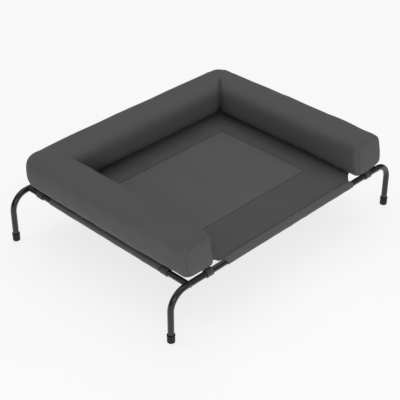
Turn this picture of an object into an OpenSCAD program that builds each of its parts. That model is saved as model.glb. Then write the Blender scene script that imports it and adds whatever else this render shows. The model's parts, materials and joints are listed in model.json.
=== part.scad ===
// Raised dog cot: a bent-tube frame, a sling on sewn sleeves and a loose U-shaped bolster.
// Millimetres. X runs along the open front, Y from front to back, Z up.
// The origin is on the floor, under the middle of the frame.

/* [Frame] */
// Distance between the axes of the left and right side rails
frame_w = 844; // [700:1:1200]
// Distance between the axes of the front and rear rails
frame_d = 702; // [600:1:1000]
// Height of the rail axes above the floor
rail_h = 163; // [120:1:260]
// Distance from a side-rail axis out to its leg axis
leg_reach = 69; // [62:1:110]
// Radius of the leg bend at the tube axis
bend_r = 58; // [35:1:60]
// Outer diameter of all tubes
tube_d = 19; // [16:0.5:22]
// Wall of all tubes
tube_wall = 1.2; // [1:0.1:1.6]

/* [Tube joints] */
// Length of a left leg's tail, from the side-rail axis to its joint
tail_left = 79; // [50:1:120]
// Length of a right leg's tail, from the side-rail axis to its joint
tail_right = 44; // [40:1:120]
// Length of a front stub, from the leg axis to its joint
stub_front = 89; // [60:1:120]
// Length of a rear stub, from the leg axis to its joint
stub_rear = 60; // [50:1:120]
// Length of the swaged plug that enters a rail
plug_len = 40; // [20:1:60]
// Length of a joint collar
collar_len = 25; // [16:1:36]
// Wall of a joint collar
collar_wall = 2.9; // [1.5:0.1:3.5]
// Rounding of a collar's edges
collar_round = 0.8; // [0.3:0.1:1.2]
// Radial clearance of every slip fit between tubes, plugs, collars, caps and bolts
slip = 0.1; // [0.05:0.05:0.2]

/* [Corner bolts] */
// Shank diameter of a corner bolt
bolt_d = 6; // [4:0.5:7]
// Shank length of a corner bolt under its head
bolt_len = 40; // [34:1:46]
// Diameter of the button head
head_d = 10.5; // [9:0.5:13]
// Height of the button head
head_h = 3.3; // [2.6:0.1:4.5]
// Width of the hexagon socket across its flats
socket_af = 4; // [2.5:0.5:4]
// Depth of the hexagon socket
socket_deep = 1.8; // [1:0.1:2]
// Length of the threaded insert in a stub
insert_len = 26; // [20:1:34]

/* [Foot caps] */
// Height of a foot cap
cap_h = 26; // [18:1:40]
// Wall of a foot cap
cap_wall = 2.1; // [1.5:0.1:3]
// Floor thickness under the leg
cap_floor = 4; // [3:0.5:6]
// Rounding of the lower edge
cap_round = 2.4; // [1:0.1:3]
// How far the top rim stands proud
rim_proud = 0.6; // [0.3:0.1:1.5]
// Height of the top rim
rim_h = 3; // [2:0.5:5]

/* [Sling] */
// Thickness of the sling cloth
cloth_t = 1.1; // [0.6:0.1:2]
// Ease of a sleeve round its rail
sleeve_ease = 0.15; // [0.1:0.05:0.4]
// Height of the sling's top face above the rail axes
sling_rise = 7; // [4:0.5:8]
// Reach of a sleeve's hem from the rail axis
hem_w = 26; // [18:1:40]
// Distance of the front and rear sleeves from the left side-rail axis
sleeve_left = 157; // [110:1:200]
// Distance of the front and rear sleeves from the right side-rail axis
sleeve_right = 128; // [110:1:200]
// Distance of the side sleeves from the front rail axis
sleeve_front = 104; // [103:1:180]
// Distance of the side sleeves from the rear rail axis
sleeve_rear = 109; // [103:1:180]
// Width of the border between the side-rail axes and the centre panel
center_side = 171; // [120:1:220]
// Width of the border between the front rail axis and the centre panel
center_front = 154; // [120:1:220]
// Width of the border between the rear rail axis and the centre panel
center_rear = 188; // [120:1:220]
// Thickness of the centre panel
center_t = 0.8; // [0.5:0.1:1.5]
// Overlap of the centre panel under the border
center_lap = 10; // [6:1:20]

/* [Bolster] */
// Width of the bolster's section
pad_w = 124; // [90:1:140]
// Height of the bolster's section
pad_h = 117; // [80:1:140]
// Squareness of the section, from 2 for an ellipse upwards
pad_power = 3; // [2.4:0.1:3.6]
// Overhang of the bolster beyond the side-rail axes
over_side = 23; // [16:1:30]
// Overhang of the bolster beyond the rear rail axis
over_rear = 13; // [8:1:20]
// Overhang of the arms' end faces beyond the front rail axis
over_front = 6; // [2:1:10]
// Plan radius of the outer corners
corner_out = 60; // [40:1:75]
// Plan radius of the inner corners
corner_in = 4; // [3:0.5:8]
// Rounding from the sides of an arm into its end panel
end_round = 29; // [22:1:36]
// Crown of an end panel
end_crown = 4; // [1:0.5:8]
// Share by which seams draw the section in at the ends and corners
draw_in = 0.02; // [0:0.005:0.04]
// Thickness of the bolster's cover
cover_t = 1.5; // [1:0.1:2.5]
// Gap between the cover and the stuffing, and at sewn edges
core_gap = 0.4; // [0.3:0.05:0.8]
// Gap under the bolster where it lies on the collars and sleeves
rest_gap = 0.4; // [0.3:0.05:0.8]

/* [Hidden] */
$fn = 48;
// Shared radii and heights
tube_r = tube_d / 2;
bore_r = tube_r - tube_wall;
plug_r = bore_r - slip;
collar_r = tube_r + slip + collar_wall;
sleeve_in = tube_r + sleeve_ease;
sleeve_r = sleeve_in + cloth_t;
sling_top = rail_h + sling_rise;
half_w = frame_w / 2;
half_d = frame_d / 2;
through = 1;

// Bolster section, path and height
pad_a = pad_w / 2;
pad_b = pad_h / 2;
arm_x = half_w + over_side - pad_a;
back_y = half_d + over_rear - pad_a;
end_y = -half_d - over_front;
section_points = 24;
cap_step = 22.5;
seam_angle = 45;
arm_spans = 4;
back_spans = 5;
// Rise of the underside above its lowest line, at the distance t from the section's middle
function under_rise(t) = pad_b - pad_b * pow(1 - pow(abs(t) / pad_a, pad_power), 1 / pad_power);
// Rise of the underside at the distance s behind an end face
function end_rise(s) = end_round - sqrt(pow(end_round, 2) - pow(max(end_round - s, 0), 2));
// Lowest line that clears a collar whose axis is at the distance t
function side_base(t) = max([for (q = [-60:5:60])
    let (p = t + collar_r * sin(q)) abs(p) < pad_a ? rail_h + collar_r * cos(q) - under_rise(p) : 0]);
end_base = max([for (q = [-60:5:60])
    let (s = over_front + collar_r * sin(q)) s > 0 ? rail_h + collar_r * cos(q) - end_rise(s) : 0]);
pad_z = max(sling_top, side_base(half_w - arm_x), side_base(half_d - back_y), end_base) + rest_gap;

// Colours
steel_black = "#2a2a2b";
plastic_black = "#242424";
zinc_black = "#333333";
zinc_grey = "#8a8a88";
cloth_grey = "#4c4c4d";
mesh_grey = "#545455";
pad_grey = "#525253";
fill_white = "#e4e2dc";

// Lengths that depend on the side of a joint
function tail_len(side) = side < 0 ? tail_left : tail_right;
function stub_len(end) = end < 0 ? stub_front : stub_rear;
function sleeve_x(side) = side < 0 ? sleeve_left : sleeve_right;
function sleeve_y(end) = end < 0 ? sleeve_front : sleeve_rear;

// Puts a shape drawn for the front left corner at the corner given by side and end
module at_corner(side, end) {
    translate([side * half_w, end * half_d, rail_h])
        mirror([side > 0 ? 1 : 0, 0, 0])
            mirror([0, end > 0 ? 1 : 0, 0])
                children();
}

// A cylinder along X or Y from a to b
module along_x(a, b, r) {
    translate([a, 0, 0]) rotate([0, 90, 0]) cylinder(h = b - a, r = r);
}
module along_y(a, b, r) {
    translate([0, b, 0]) rotate([90, 0, 0]) cylinder(h = b - a, r = r);
}

// The solid path of a bent leg with radius r: tail, bend and drop
module leg_path(r, tail, foot, extra) {
    straight = leg_reach - bend_r;
    along_x(-straight, tail, r);
    translate([-straight, 0, -bend_r])
        rotate([90, 0, 0])
            rotate_extrude(angle = 90, start = 90)
                translate([bend_r, 0]) circle(r = r);
    translate([-leg_reach, 0, -foot - extra]) cylinder(h = foot + extra - bend_r, r = r);
}

module leg(side, end) {
    tail = tail_len(side);
    foot = rail_h - cap_floor;
    color(steel_black)
        at_corner(side, end)
            difference() {
                union() {
                    leg_path(tube_r, tail, foot, 0);
                    along_x(tail - through, tail + plug_len, plug_r);
                }
                leg_path(bore_r, tail - plug_len / 4, foot, through);
                along_x(tail - plug_len / 2, tail + plug_len + through, plug_r - tube_wall);
                along_y(-tube_r - through, tube_r + through, bolt_d / 2 + slip);
            }
}

module foot_cap(side, end) {
    inner = tube_r + slip;
    outer = inner + cap_wall;
    color(plastic_black)
        at_corner(side, end)
            translate([-leg_reach, 0, -rail_h])
                rotate_extrude()
                    difference() {
                        union() {
                            square([outer - cap_round, cap_h]);
                            translate([0, cap_round]) square([outer, cap_h - cap_round]);
                            translate([outer - cap_round, cap_round]) circle(r = cap_round);
                            translate([0, cap_h - rim_h]) square([outer + rim_proud, rim_h]);
                        }
                        translate([0, cap_floor]) square([inner, cap_h]);
                        translate([-outer, -through]) square([outer, cap_h + 2 * through]);
                    }
}

// A stub starts at the leg's wall, with its end cut to the leg's round
module side_stub(side, end) {
    joint = stub_len(end);
    color(steel_black)
        at_corner(side, end)
            difference() {
                union() {
                    along_y(0, joint, tube_r);
                    along_y(joint - through, joint + plug_len, plug_r);
                }
                along_y(-through, joint - plug_len / 4, bore_r);
                along_y(joint - plug_len / 2, joint + plug_len + through, plug_r - tube_wall);
                along_x(-tube_d, tube_d, tube_r + slip);
            }
}

// Rails run between the joints
module cross_rail(end) {
    color(steel_black)
        translate([0, end * half_d, rail_h])
            difference() {
                along_x(-half_w + tail_left, half_w - tail_right, tube_r);
                along_x(-half_w, half_w, bore_r);
            }
}
module side_rail(side) {
    color(steel_black)
        translate([side * half_w, 0, rail_h])
            difference() {
                along_y(-half_d + stub_front, half_d - stub_rear, tube_r);
                along_y(-half_d, half_d, bore_r);
            }
}

// A collar along Z, centred on its joint, with rounded edges
module collar() {
    inner = tube_r + slip;
    color(plastic_black)
        rotate_extrude()
            union() {
                translate([inner, -collar_len / 2])
                    square([collar_wall - collar_round, collar_len]);
                translate([inner, -collar_len / 2 + collar_round])
                    square([collar_wall, collar_len - 2 * collar_round]);
                for (z = [-1, 1])
                    translate([collar_r - collar_round, z * (collar_len / 2 - collar_round)])
                        circle(r = collar_round);
            }
}
module cross_collar(side, end) {
    at_corner(side, end) translate([tail_len(side), 0, 0]) rotate([0, 90, 0]) collar();
}
module side_collar(side, end) {
    at_corner(side, end) translate([0, stub_len(end), 0]) rotate([90, 0, 0]) collar();
}

// A button-head bolt from the leg's outer face into the stub
module corner_bolts() {
    dome_r = (pow(head_d / 2, 2) + pow(head_h, 2)) / (2 * head_h);
    color(zinc_black)
        for (side = [-1, 1], end = [-1, 1])
            at_corner(side, end)
                difference() {
                    union() {
                        along_y(-tube_r, bolt_len - tube_r, bolt_d / 2);
                        intersection() {
                            along_y(-tube_r - head_h, -tube_r, head_d / 2);
                            translate([0, dome_r - head_h - tube_r, 0]) sphere(r = dome_r, $fn = 64);
                        }
                    }
                    translate([0, socket_deep - head_h - tube_r, 0])
                        rotate([90, 0, 0])
                            cylinder(h = head_h, d = socket_af / cos(30), $fn = 6);
                }
}

// A threaded insert pressed into each stub behind the leg's wall
module stub_inserts() {
    start = tube_r + through;
    color(zinc_grey)
        for (side = [-1, 1], end = [-1, 1])
            at_corner(side, end)
                difference() {
                    along_y(start, start + insert_len, bore_r - slip);
                    along_y(0, start + insert_len + through, bolt_d / 2 + slip);
                }
}

// Distance from the corner at which the slanted cut of the sling meets the hem line
function cut_at(own, other) = own - (hem_w - sleeve_r) / (other - sleeve_r) * (own - sleeve_r);

// A sleeve along X round the rail, with a flat hem towards +Y that the border is sewn to.
// a and b are its ends, cut_a and cut_b the ends of the hem line.
module sleeve(a, b, cut_a, cut_b) {
    color(cloth_grey)
        difference() {
            union() {
                along_x(a, b, sleeve_r);
                translate([0, 0, sling_rise - cloth_t])
                    linear_extrude(cloth_t)
                        polygon([[a, 0], [b, 0], [b, sleeve_r], [cut_b, hem_w], [cut_a, hem_w], [a, sleeve_r]]);
            }
            along_x(a - through, b + through, sleeve_in);
        }
}
module cross_sleeve(end) {
    translate([0, end * half_d, rail_h])
        mirror([0, end > 0 ? 1 : 0, 0])
            sleeve(-half_w + sleeve_left, half_w - sleeve_right,
                -half_w + cut_at(sleeve_left, sleeve_y(end)), half_w - cut_at(sleeve_right, sleeve_y(end)));
}
module side_sleeve(side) {
    translate([side * half_w, 0, rail_h])
        mirror([side > 0 ? 1 : 0, 0, 0])
            mirror([1, -1, 0])
                sleeve(-half_d + sleeve_front, half_d - sleeve_rear,
                    -half_d + cut_at(sleeve_front, sleeve_x(side)), half_d - cut_at(sleeve_rear, sleeve_x(side)));
}

// The border lies between the hems, with its corners cut off and a window for the centre panel
module sling_border() {
    x_in = half_w - hem_w;
    y_in = half_d - hem_w;
    function x_cut(side, end) = side * (half_w - cut_at(sleeve_x(side), sleeve_y(end)));
    function y_cut(side, end) = end * (half_d - cut_at(sleeve_y(end), sleeve_x(side)));
    color(cloth_grey)
        translate([0, 0, sling_top - cloth_t])
            linear_extrude(cloth_t)
                difference() {
                    polygon([
                        [x_cut(-1, -1), -y_in], [x_cut(1, -1), -y_in],
                        [x_in, y_cut(1, -1)], [x_in, y_cut(1, 1)],
                        [x_cut(1, 1), y_in], [x_cut(-1, 1), y_in],
                        [-x_in, y_cut(-1, 1)], [-x_in, y_cut(-1, -1)]
                    ]);
                    center_outline(0);
                }
}
// Outline of the window, grown by lap
module center_outline(lap) {
    translate([center_side - half_w - lap, center_front - half_d - lap])
        square([frame_w - 2 * center_side + 2 * lap, frame_d - center_front - center_rear + 2 * lap]);
}
module sling_center() {
    color(mesh_grey)
        translate([0, 0, sling_top - cloth_t - center_t])
            linear_extrude(center_t)
                center_outline(center_lap);
}

// Bolster: a closed super-ellipse is carried along a U. Each point of the section follows its own
// parallel path, whose corner radius grows from the inside of the U to the outside.
function corner_radius(t) = corner_in + (corner_out - corner_in) * (t + pad_a) / pad_w;
// Section point i as [distance outwards, height], inset by o, in a section scaled by g
function section_point(i, o, g) =
    let (c = cos(360 * i / section_points), s = sin(360 * i / section_points))
    let (k = pow(pow(abs(c), pad_power) + pow(abs(s), pad_power), -1 / pad_power))
    [(pad_a * g - o) * c * k, pad_z + pad_b * g + (pad_b * g - o) * s * k];
function section(o, g) = [for (i = [0:section_points - 1]) section_point(i, o, g)];
// A ring of the rounding at an arm's end: w is 0 at the end face and 90 at the full section
function cap_ring(side, w, o) = [
    for (p = section(o + (end_round - o) * (1 - sin(w)), 1 - draw_in))
        [side * (arm_x + p[0]), end_y + o + (end_round - o) * (1 - cos(w)), p[1]]
];
// A ring of the crowned end panel, shrunk to the share q of its outline
function crown_ring(side, q, o) = [
    for (p = section(end_round, 1 - draw_in))
        let (h = pad_z + pad_b * (1 - draw_in))
        [side * (arm_x + q * p[0]), end_y + o - end_crown * (1 - q * q), h + q * (p[1] - h)]
];
// A ring of the straight stretch of an arm: q is 0 behind the end's rounding and 1 at the corner
function arm_ring(side, q, o) = [
    for (p = section(o, 1 - draw_in * pow(2 * q - 1, 2)))
        let (y = end_y + end_round, corner = back_y + p[0] - corner_radius(p[0]))
        [side * (arm_x + p[0]), y + q * (corner - y), p[1]]
];
// A ring of a corner: w is 0 at the arm and 90 at the back
function corner_ring(side, w, o) = [
    for (p = section(o, 1 - draw_in))
        let (r = corner_radius(p[0]))
        [side * (arm_x + p[0] - r + r * cos(w)), back_y + p[0] - r + r * sin(w), p[1]]
];
// A ring of the back: q runs from -1 at the left corner to 1 at the right one
function back_ring(q, o) = [
    for (p = section(o, 1 - draw_in * q * q))
        [q * (arm_x + p[0] - corner_radius(p[0])), back_y + p[0], p[1]]
];
function moved(ring, by) = [for (p = ring) p + by];
function backwards(rings) = [for (i = [len(rings) - 1:-1:0]) rings[i]];

// Stations of an arm from the seam round its end panel to the start of the corner
function arm_rings(side, o) = concat(
    [for (w = [seam_angle:cap_step:90]) cap_ring(side, w, o)],
    [for (i = [1:arm_spans]) arm_ring(side, i / arm_spans, o)]
);
function corner_rings(side, from, to, o) = [for (w = [from:cap_step:to]) corner_ring(side, w, o)];
function back_rings(o) = [for (i = [0:back_spans]) back_ring(2 * i / back_spans - 1, o)];
// The whole U from the left end to the right one
function u_rings(o) = concat(
    arm_rings(-1, o), corner_rings(-1, cap_step, 90 - cap_step, o),
    back_rings(o),
    backwards(corner_rings(1, cap_step, 90 - cap_step, o)), backwards(arm_rings(1, o))
);

// Triangles between ring r and the next one, in rings of n points counted from base
function span_faces(r, n, base) = [
    for (i = [0:n - 1])
        let (a = base + r * n + i, b = base + r * n + (i + 1) % n)
        each [[a, a + n, b + n], [a, b + n, b]]
];
function wall_faces(count, n, base) = [for (r = [0:count - 2]) each span_faces(r, n, base)];
function flipped(faces) = [for (f = faces) [f[0], f[2], f[1]]];
// Triangles between two rings that start at the indices a and b
function rim_faces(a, b, n) = [
    for (i = [0:n - 1])
        let (j = (i + 1) % n)
        each [[a + i, a + j, b + j], [a + i, b + j, b + i]]
];
// Triangles from a ring at the index a to the point c
function fan_faces(a, c, n) = [for (i = [0:n - 1]) [c, a + i, a + (i + 1) % n]];
function middle(ring) = [for (k = [0:2]) let (v = [for (p = ring) p[k]]) (max(v) + min(v)) / 2];

// A closed body through rings, with a fan on each end; turned when the rings run the other way round
module ring_body(rings, turned) {
    n = section_points;
    count = len(rings);
    points = concat([for (ring = rings) each ring], [middle(rings[0]), middle(rings[count - 1])]);
    faces = concat(wall_faces(count, n, 0), fan_faces(0, count * n, n),
        flipped(fan_faces((count - 1) * n, count * n + 1, n)));
    polyhedron(points, turned ? flipped(faces) : faces);
}
// A wall between outer and inner rings, open at both ends
module ring_shell(outer, inner) {
    n = section_points;
    count = len(outer);
    inside = count * n;
    last = (count - 1) * n;
    points = concat([for (ring = outer) each ring], [for (ring = inner) each ring]);
    faces = concat(wall_faces(count, n, 0), flipped(wall_faces(count, n, inside)),
        rim_faces(0, inside, n), flipped(rim_faces(last, inside + last, n)));
    polyhedron(points, faces);
}

module bolster_cover() {
    color(pad_grey) ring_shell(u_rings(0), u_rings(cover_t));
}

// Rings of an end panel from its middle to its seam, which stays clear of the cover's edge
crown_shares = [0.05, 0.55];
seam_back = 2 * asin(core_gap / (2 * (end_round - cover_t)));
function panel_rings(side, o) = concat(
    [for (q = crown_shares) crown_ring(side, q, o)],
    [for (w = [0:cap_step:seam_angle - cap_step]) cap_ring(side, w, o)],
    [cap_ring(side, seam_angle - seam_back, o)]
);
module end_panel(side) {
    color(pad_grey)
        ring_body(concat(panel_rings(side, 0), backwards(panel_rings(side, cover_t))), side > 0);
}

// Stuffing: two arms and the back, cut along the mitres of the corners
core_in = cover_t + core_gap;
module arm_core(side) {
    color(fill_white)
        ring_body(concat(
            [for (q = crown_shares) crown_ring(side, q, core_in)],
            [for (w = [0:cap_step:seam_angle - cap_step]) cap_ring(side, w, core_in)],
            arm_rings(side, core_in),
            corner_rings(side, cap_step, seam_angle - cap_step, core_in),
            [moved(corner_ring(side, seam_angle, core_in), [0, -core_gap, 0])]
        ), side > 0);
}
module back_core() {
    color(fill_white)
        ring_body(concat(
            [corner_ring(-1, seam_angle, core_in)],
            corner_rings(-1, seam_angle + cap_step, 90 - cap_step, core_in),
            back_rings(core_in),
            backwards(corner_rings(1, seam_angle + cap_step, 90 - cap_step, core_in)),
            [corner_ring(1, seam_angle, core_in)]
        ), false);
}

leg(-1, -1);  // leg_front_left
leg(1, -1);  // leg_front_right
leg(-1, 1);  // leg_rear_left
leg(1, 1);  // leg_rear_right
foot_cap(-1, -1);  // foot_cap_front_left
foot_cap(1, -1);  // foot_cap_front_right
foot_cap(-1, 1);  // foot_cap_rear_left
foot_cap(1, 1);  // foot_cap_rear_right
side_stub(-1, -1);  // stub_front_left
side_stub(1, -1);  // stub_front_right
side_stub(-1, 1);  // stub_rear_left
side_stub(1, 1);  // stub_rear_right
cross_rail(-1);  // front_rail
cross_rail(1);  // rear_rail
side_rail(-1);  // left_rail
side_rail(1);  // right_rail
cross_collar(-1, -1);  // collar_front_left
cross_collar(1, -1);  // collar_front_right
cross_collar(-1, 1);  // collar_rear_left
cross_collar(1, 1);  // collar_rear_right
side_collar(-1, -1);  // collar_left_front
side_collar(-1, 1);  // collar_left_rear
side_collar(1, -1);  // collar_right_front
side_collar(1, 1);  // collar_right_rear
corner_bolts();
stub_inserts();
sling_border();
sling_center();
cross_sleeve(-1);  // front_sleeve
cross_sleeve(1);  // rear_sleeve
side_sleeve(-1);  // left_sleeve
side_sleeve(1);  // right_sleeve
bolster_cover();
end_panel(-1);  // left_end_panel
end_panel(1);  // right_end_panel
arm_core(-1);  // left_core
back_core();
arm_core(1);  // right_core
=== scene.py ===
"""Raised dog cot: cloth, bolster, finishes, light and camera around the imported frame.
Metres. X runs along the open front, Y from front to back, Z up."""
import json
import math

import bpy
import numpy as np
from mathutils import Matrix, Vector


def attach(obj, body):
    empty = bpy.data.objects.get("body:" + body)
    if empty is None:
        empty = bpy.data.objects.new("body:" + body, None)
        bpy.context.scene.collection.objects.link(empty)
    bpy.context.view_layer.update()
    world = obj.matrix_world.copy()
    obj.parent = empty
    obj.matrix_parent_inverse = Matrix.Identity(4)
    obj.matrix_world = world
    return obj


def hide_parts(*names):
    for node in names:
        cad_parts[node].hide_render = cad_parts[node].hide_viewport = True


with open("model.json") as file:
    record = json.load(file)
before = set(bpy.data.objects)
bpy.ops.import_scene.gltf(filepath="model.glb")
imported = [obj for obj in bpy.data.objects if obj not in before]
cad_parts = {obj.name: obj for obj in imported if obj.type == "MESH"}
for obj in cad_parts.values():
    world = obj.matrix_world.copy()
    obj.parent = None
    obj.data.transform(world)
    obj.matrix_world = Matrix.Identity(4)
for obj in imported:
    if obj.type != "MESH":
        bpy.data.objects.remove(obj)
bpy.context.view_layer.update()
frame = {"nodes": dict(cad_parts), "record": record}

MM = 0.001
# Rails: half the distance between their axes, height of the axes, and radius of sleeves and collars on them
HALF_W, HALF_D, RAIL_H = 422 * MM, 351 * MM, 163 * MM
SLEEVE_R, COLLAR_R = 10.75 * MM, 12.5 * MM
# Sling: height of its top face, thickness of its cloth, and distance of its hems from the rails' axes
SLING_TOP, CLOTH_T, HEM = 170 * MM, 0.8 * MM, 15.5 * MM
WINDOW_X, WINDOW_FRONT, WINDOW_REAR = 251 * MM, -197 * MM, 163 * MM
# Bolster: middle lines of its arms and its back, half height and underside of its section, and the plan
# radii of its rear corners
ARM_X, BACK_Y = 383 * MM, 302 * MM
PAD_B, PAD_Z = 58.8 * MM, 171 * MM
CORNER_OUT, CORNER_IN = 60 * MM, 4 * MM


# Arrays and meshes

# Sines in a sum of ripples and the spread of their lengths, and samples of a curve for each point on it
WAVES, WAVE_SPREAD, SAMPLES = 8, (0.7, 1.5), 40


def grid_faces(rows, cols, wrap=False, flip=False):
    """Quads of a grid of rows x cols points: each joins a point, its right neighbour and the two above
    them. With wrap the last column joins the first."""
    i, j = np.meshgrid(np.arange(rows - 1), np.arange(cols if wrap else cols - 1), indexing="ij")
    i, j = i.ravel(), j.ravel()
    k = (j + 1) % cols
    faces = np.stack([i * cols + j, i * cols + k, (i + 1) * cols + k, (i + 1) * cols + j], 1)
    return faces[:, ::-1] if flip else faces


def grid_uv(u, v, flip=False):
    """UVs of the corners of the same quads, from tables with one column more than the quads have."""
    table = np.stack(np.broadcast_arrays(u, v), -1)
    corners = [table[:-1, :-1], table[:-1, 1:], table[1:, 1:], table[1:, :-1]]
    return np.stack(corners[::-1] if flip else corners, 2).reshape(-1, 2)


def make_piece(name, points, faces, uv, material, body):
    """A smooth mesh object at the origin, which rides on a body and takes the given finish."""
    mesh = bpy.data.meshes.new(name)
    mesh.from_pydata(points.reshape(-1, 3).tolist(), [], faces.tolist())
    if uv is not None:
        mesh.uv_layers.new(name="cloth").uv.foreach_set("vector", uv.astype(np.float32).ravel())
    mesh.shade_smooth()
    mesh.materials.append(material)
    piece = bpy.data.objects.new(name, mesh)
    bpy.context.scene.collection.objects.link(piece)
    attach(piece, body)
    return piece


def thicken(piece, thickness):
    """Gives a sheet its thickness, measured from the drawn face against its normal."""
    solid = piece.modifiers.new("cloth thickness", "SOLIDIFY")
    solid.thickness = thickness
    solid.offset = -1.0
    solid.use_even_offset = False


def ripples(a, b, length, seed):
    """Sum of sines of random direction and phase, with wave lengths near the given one, about -1 to 1."""
    rng = np.random.default_rng(seed)
    angle, phase = rng.uniform(0, 2 * np.pi, (2, WAVES))
    wave = 2 * np.pi / (length * rng.uniform(*WAVE_SPREAD, WAVES))
    a, b = a[..., None], b[..., None]
    return np.sin(wave * (a * np.cos(angle) + b * np.sin(angle)) + phase).sum(-1) / math.sqrt(WAVES)


def fade(x, start, end):
    """0 before start and 1 after end, with a smooth step between."""
    t = np.clip((x - start) / (end - start), 0, 1)
    return t * t * (3 - 2 * t)


def bell(x, middle, width):
    """A bell curve round a middle, 1 high."""
    return np.exp(-((x - middle) / width) ** 2)


def with_bells(x, value, bells):
    """A value with bell curves (middle, height, width) added to it."""
    return sum((height * bell(x, middle, width) for middle, height, width in bells), value)


def soft_max(a, b, width):
    """The larger of two values, rounded over the given width where they cross."""
    return 0.5 * (a + b + np.sqrt((a - b) ** 2 + width ** 2))


def line(a, b, count):
    """Evenly spaced points from a to b."""
    return np.linspace(np.asarray(a, float), np.asarray(b, float), count)


def run_along(path):
    """Distance along a path to each of its points."""
    return np.concatenate([[0], np.cumsum(np.linalg.norm(np.diff(path, axis=0), axis=1))])


def even_points(path, count):
    """Resamples a path to points at equal distances along it."""
    run = run_along(path)
    at = np.linspace(0, run[-1], count)
    return np.stack([np.interp(at, run, path[:, k]) for k in range(path.shape[1])], 1)


def spline(points, count):
    """Points evenly spread along a Catmull-Rom curve through the given ones."""
    p = np.asarray(points, float)
    p = np.concatenate([2 * p[:1] - p[1:2], p, 2 * p[-1:] - p[-2:-1]])
    s = np.linspace(0, len(p) - 3, SAMPLES * len(p))
    k = np.minimum(s.astype(int), len(p) - 4)
    f = (s - k)[:, None]
    a, b, c, d = p[k], p[k + 1], p[k + 2], p[k + 3]
    terms = [2 * b, (c - a) * f, (2 * a - 5 * b + 4 * c - d) * f ** 2, (3 * b - a - 3 * c + d) * f ** 3]
    return even_points(0.5 * sum(terms), count)


# Finishes

VALUE, VECTOR = "NodeSocketFloat", "NodeSocketVector"
# Slubs in a metre along and across the threads, and how much finer a mottle's fine noise is
SLUB_ALONG, SLUB_ACROSS, FINENESS = 40, 900, 24.0
# The part of its range that a noise fills
MASK_LOW, MASK_HIGH = 0.3, 0.7
# Cloth: scale of its mottling, shares of mottling, slubs and threads in its tone, and its roughness
CLOTH_SCALE, MOTTLE_TONE, SLUB_TONE, THREAD_TONE = 9.0, 0.55, 0.3, 0.2
CLOTH_ROUGH = (0.82, 0.94)
# How high slubs stand beside threads, and how strong the bump of cloth and of hard skins is
SLUB_RISE, CLOTH_BUMP, SKIN_BUMP = 0.6, 0.5, 0.35


def put(tree, kind, **inputs):
    """A node with its properties and inputs set: sockets are linked, other values are stored."""
    node = tree.nodes.new(kind)
    for name, value in inputs.items():
        if hasattr(node, name):
            setattr(node, name, value)
            continue
        socket = node.inputs[int(name[1:])] if name[1:].isdigit() else node.inputs[name.replace("_", " ")]
        if isinstance(value, bpy.types.NodeSocket):
            tree.links.new(value, socket)
        else:
            socket.default_value = value
    return node


def calc(tree, operation, a, b=0.0, c=0.0):
    """The output of one Math node."""
    return put(tree, "ShaderNodeMath", operation=operation, i0=a, i1=b, i2=c).outputs[0]


def new_group(name, inputs, outputs):
    """An empty shader node group with named value or vector sockets."""
    group = bpy.data.node_groups.new(name, "ShaderNodeTree")
    for socket, kind in inputs:
        group.interface.new_socket(socket, in_out="INPUT", socket_type=kind)
    for socket, kind in outputs:
        group.interface.new_socket(socket, in_out="OUTPUT", socket_type=kind)
    return group, group.nodes.new("NodeGroupInput").outputs, group.nodes.new("NodeGroupOutput").inputs


def weave_group():
    """Plain weave on a cloth's UV map in metres. Each thread's round is the sine across it, and it comes
    up where the cosine along it, shifted by one crossing from thread to thread, is high. The height is
    the higher of warp and weft, and slubs are a noise drawn out along the threads."""
    group, given, out = new_group("plain_weave", [("Cloth", VECTOR), ("Threads", VALUE)],
                                  [("Height", VALUE), ("Slub", VALUE)])
    split = put(group, "ShaderNodeSeparateXYZ", Vector=given["Cloth"]).outputs
    p, q = (calc(group, "MULTIPLY", split[k], given["Threads"]) for k in (0, 1))

    def thread(across, along, start):
        crown = calc(group, "ABSOLUTE", calc(group, "SINE", calc(group, "MULTIPLY", across, math.pi)))
        step = calc(group, "ADD", calc(group, "ADD", along, calc(group, "FLOOR", across)), start)
        wave = calc(group, "COSINE", calc(group, "MULTIPLY", step, math.pi))
        return calc(group, "MULTIPLY", crown, calc(group, "MULTIPLY_ADD", wave, 0.5, 0.5))

    group.links.new(calc(group, "MAXIMUM", thread(p, q, 0.0), thread(q, p, 1.0)), out["Height"])
    drawn = [put(group, "ShaderNodeMapping", Vector=given["Cloth"], Scale=scale).outputs[0]
             for scale in ((SLUB_ALONG, SLUB_ACROSS, 1), (SLUB_ACROSS, SLUB_ALONG, 1))]
    slubs = [put(group, "ShaderNodeTexNoise", Vector=d, Scale=1.0, Detail=2.0).outputs[0] for d in drawn]
    group.links.new(calc(group, "MULTIPLY", calc(group, "ADD", *slubs), 0.5), out["Slub"])
    return group


def mottle_group():
    """Slow, soft change over a surface: noise of two sizes on Object coordinates, 0 to 1."""
    group, given, out = new_group("mottle", [("Place", VECTOR), ("Scale", VALUE)],
                                  [("Mask", VALUE), ("Fine", VALUE)])
    slow = put(group, "ShaderNodeTexNoise", Vector=given["Place"], Scale=given["Scale"], Detail=3.0)
    fine = put(group, "ShaderNodeTexNoise", Vector=given["Place"],
               Scale=calc(group, "MULTIPLY", given["Scale"], FINENESS), Detail=2.0)
    group.links.new(slow.outputs[0], out["Mask"])
    group.links.new(fine.outputs[0], out["Fine"])
    return group


WEAVE, MOTTLE = weave_group(), mottle_group()


def new_finish(name):
    """A material with its node tree and its Principled shader."""
    material = bpy.data.materials.new(name)
    material.use_nodes = True
    tree = material.node_tree
    return material, tree, next(n for n in tree.nodes if n.type == "BSDF_PRINCIPLED")


def between(tree, mask, dark, light):
    """A colour between two others, by a mask."""
    ramp = put(tree, "ShaderNodeValToRGB", Fac=mask)
    for element, value, place in zip(ramp.color_ramp.elements, (dark, light), (MASK_LOW, MASK_HIGH)):
        element.color, element.position = (*value, 1), place
    return ramp.outputs[0]


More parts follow.
